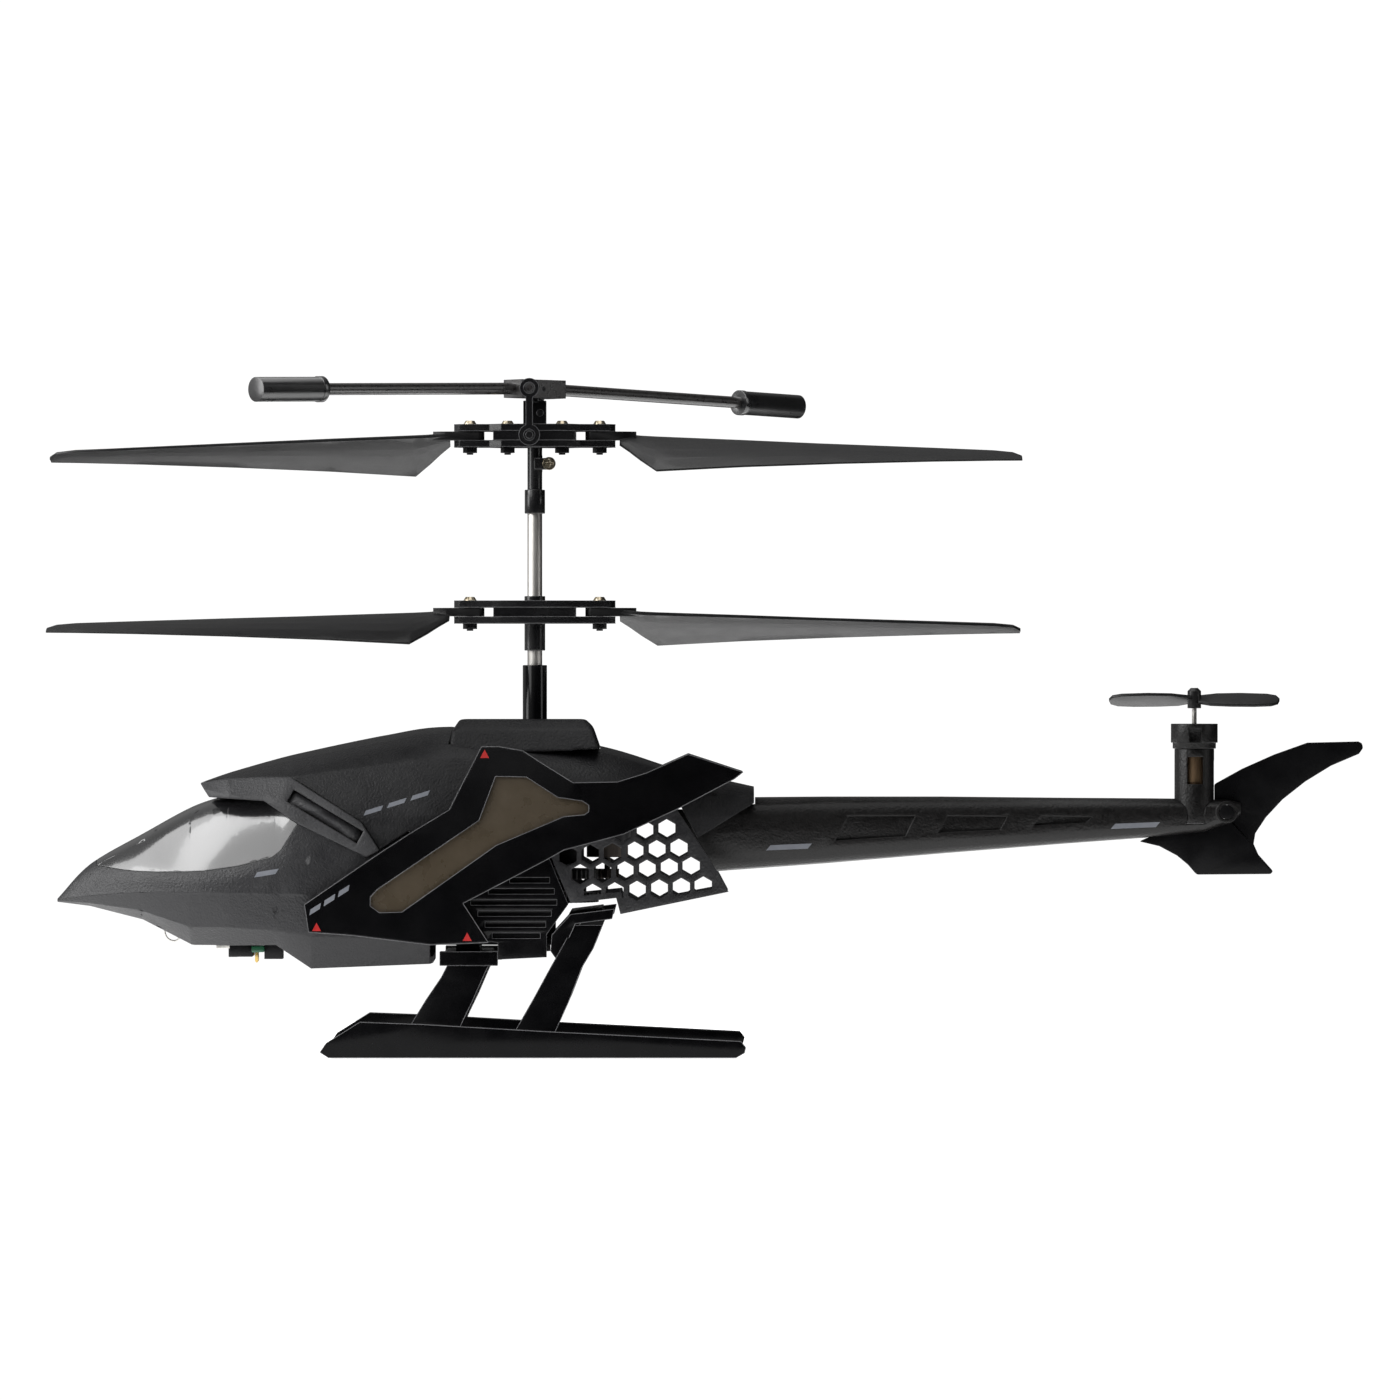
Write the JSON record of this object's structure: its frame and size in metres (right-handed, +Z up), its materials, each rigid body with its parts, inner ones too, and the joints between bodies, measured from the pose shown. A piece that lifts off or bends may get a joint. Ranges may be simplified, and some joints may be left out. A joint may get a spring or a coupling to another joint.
{
  "type": "remote control helicopter",
  "caption": "Coaxial indoor toy helicopter with opposite-turning main rotors, a weighted flybar, an upright tail rotor, side armour panels and skids.",
  "frame": {"origin": "on the ground under the middle of the bounding box", "axes": "+Z up, -X towards the nose, +X towards the tail, -Y towards the left side"},
  "size_m": [0.2221, 0.084, 0.1136],
  "materials": {
    "shell_matte": "fine grained matte",
    "black_gloss": "polished",
    "smoke_window": "polished translucent smoke tint",
    "boom_satin": "satin with fine grain",
    "hub_satin": "satin gloss",
    "blade_black": "satin",
    "steel": "bright drawn steel",
    "screw_brass": "plated",
    "motor_can": "nickel plated can",
    "gear_white": "natural moulded",
    "pinion_brass": "machined",
    "frame_black": "moulded",
    "weight_black": "satin paint",
    "board_green": "solder mask",
    "cell_wrap": "foil wrap"
  },
  "bodies": {
    "airframe": {"battery": "cell_wrap", "canopy_frame": "shell_matte", "canopy_window": "black_gloss", "charge_socket": "frame_black", "chassis_frame": "frame_black", "circuit_board": "board_green", "fuselage_shell_left": "shell_matte", "fuselage_shell_right": "shell_matte", "hex_grille_left": "shell_matte", "hex_grille_right": "shell_matte", "light_window_left": "smoke_window", "light_window_right": "smoke_window", "mast_cowl": "shell_matte", "mast_sleeve": "black_gloss", "motor_front": "motor_can", "motor_rear": "motor_can", "roof_cowl": "shell_matte", "shell_screws": "steel", "side_armour_left": "black_gloss", "side_armour_right": "black_gloss", "side_vent_left": "shell_matte", "side_vent_right": "shell_matte", "skid_bridges": "black_gloss", "skid_left": "black_gloss", "skid_right": "black_gloss", "switch_housing": "steel", "tail_boom_left": "boom_satin", "tail_boom_right": "boom_satin", "tail_fin": "shell_matte", "tail_fin_pin": "shell_matte", "tail_motor": "motor_can", "tail_motor_cap": "boom_satin", "tail_motor_pod": "boom_satin"},
    "inner_rotor": {"inner_shaft": "steel", "main_gear_lower": "gear_white", "rotor_head": "hub_satin", "head_clamp_screw": "screw_brass"},
    "outer_rotor": {"outer_shaft": "steel", "shaft_bush_top": "hub_satin", "main_gear_upper": "gear_white", "lower_hub": "hub_satin", "lower_blade_screws": "screw_brass"},
    "upper_yoke": {"yoke_lower": "hub_satin", "yoke_upper": "hub_satin", "upper_blade_screws": "screw_brass"},
    "flybar": {"flybar": "hub_satin", "flybar_weight_front": "weight_black", "flybar_weight_rear": "weight_black"},
    "link_left": {"link_rod_left": "hub_satin"},
    "link_right": {"link_rod_right": "hub_satin"},
    "upper_front_blade": {"blade_upper_front": "blade_black"},
    "upper_rear_blade": {"blade_upper_rear": "blade_black"},
    "lower_front_blade": {"blade_lower_front": "blade_black"},
    "lower_rear_blade": {"blade_lower_rear": "blade_black"},
    "front_pinion": {"pinion_front": "pinion_brass"},
    "rear_pinion": {"pinion_rear": "pinion_brass"},
    "tail_rotor": {"tail_propeller": "blade_black", "tail_motor_shaft": "steel"},
    "power_switch": {"switch_slider": "frame_black"}
  },
  "joints": [
    {"name": "inner_rotor_spin", "type": "hinge", "parent": "airframe", "child": "inner_rotor", "pos_m": [-0.0289, 0, 0.06], "axis": [0, 0, 1], "continuous": true},
    {"name": "outer_rotor_spin", "type": "hinge", "parent": "airframe", "child": "outer_rotor", "pos_m": [-0.0289, 0, 0.06], "axis": [0, 0, 1], "continuous": true},
    {"name": "front_pinion_spin", "type": "hinge", "parent": "airframe", "child": "front_pinion", "pos_m": [-0.04115, 0, 0.03], "axis": [0, 0, 1], "continuous": true},
    {"name": "rear_pinion_spin", "type": "hinge", "parent": "airframe", "child": "rear_pinion", "pos_m": [-0.01665, 0, 0.03], "axis": [0, 0, 1], "continuous": true},
    {"name": "tail_rotor_spin", "type": "hinge", "parent": "airframe", "child": "tail_rotor", "pos_m": [0.0825, 0, 0.058], "axis": [0, 0, 1], "continuous": true},
    {"name": "flybar_tilt", "type": "hinge", "parent": "inner_rotor", "child": "flybar", "pos_m": [-0.0289, 0, 0.112], "axis": [-0.6691, 0.7431, 0], "range_deg": [-15, 15]},
    {"name": "upper_yoke_feather", "type": "hinge", "parent": "inner_rotor", "child": "upper_yoke", "pos_m": [-0.0289, 0, 0.1041], "axis": [1, 0, 0], "range_deg": [-12, 12]},
    {"name": "link_left_pivot", "type": "hinge", "parent": "flybar", "child": "link_left", "pos_m": [-0.0297, -0.0062, 0.112], "axis": [-0.6691, 0.7431, 0], "range_deg": [-15, 15]},
    {"name": "link_right_pivot", "type": "hinge", "parent": "flybar", "child": "link_right", "pos_m": [-0.0281, 0.0062, 0.112], "axis": [-0.6691, 0.7431, 0], "range_deg": [-15, 15]},
    {"name": "upper_front_blade_fold", "type": "hinge", "parent": "upper_yoke", "child": "upper_front_blade", "pos_m": [-0.03985, 0, 0.1041], "axis": [0, 0, 1], "range_deg": [-45, 45]},
    {"name": "upper_rear_blade_fold", "type": "hinge", "parent": "upper_yoke", "child": "upper_rear_blade", "pos_m": [-0.01795, 0, 0.1041], "axis": [0, 0, 1], "range_deg": [-45, 45]},
    {"name": "lower_front_blade_fold", "type": "hinge", "parent": "outer_rotor", "child": "lower_front_blade", "pos_m": [-0.03985, 0, 0.07435], "axis": [0, 0, 1], "range_deg": [-45, 45]},
    {"name": "lower_rear_blade_fold", "type": "hinge", "parent": "outer_rotor", "child": "lower_rear_blade", "pos_m": [-0.01795, 0, 0.07435], "axis": [0, 0, 1], "range_deg": [-45, 45]},
    {"name": "power_switch_slide", "type": "slide", "parent": "airframe", "child": "power_switch", "axis": [1, 0, 0], "range_m": [-0.0011, 0]}
  ],
  "couplings": [
    {"joint": "front_pinion_spin", "follows": "inner_rotor_spin", "ratio": -6},
    {"joint": "rear_pinion_spin", "follows": "outer_rotor_spin", "ratio": -6},
    {"joint": "upper_yoke_feather", "follows": "flybar_tilt", "ratio": -0.765},
    {"joint": "link_left_pivot", "follows": "flybar_tilt", "ratio": -1},
    {"joint": "link_right_pivot", "follows": "flybar_tilt", "ratio": -1}
  ]
}
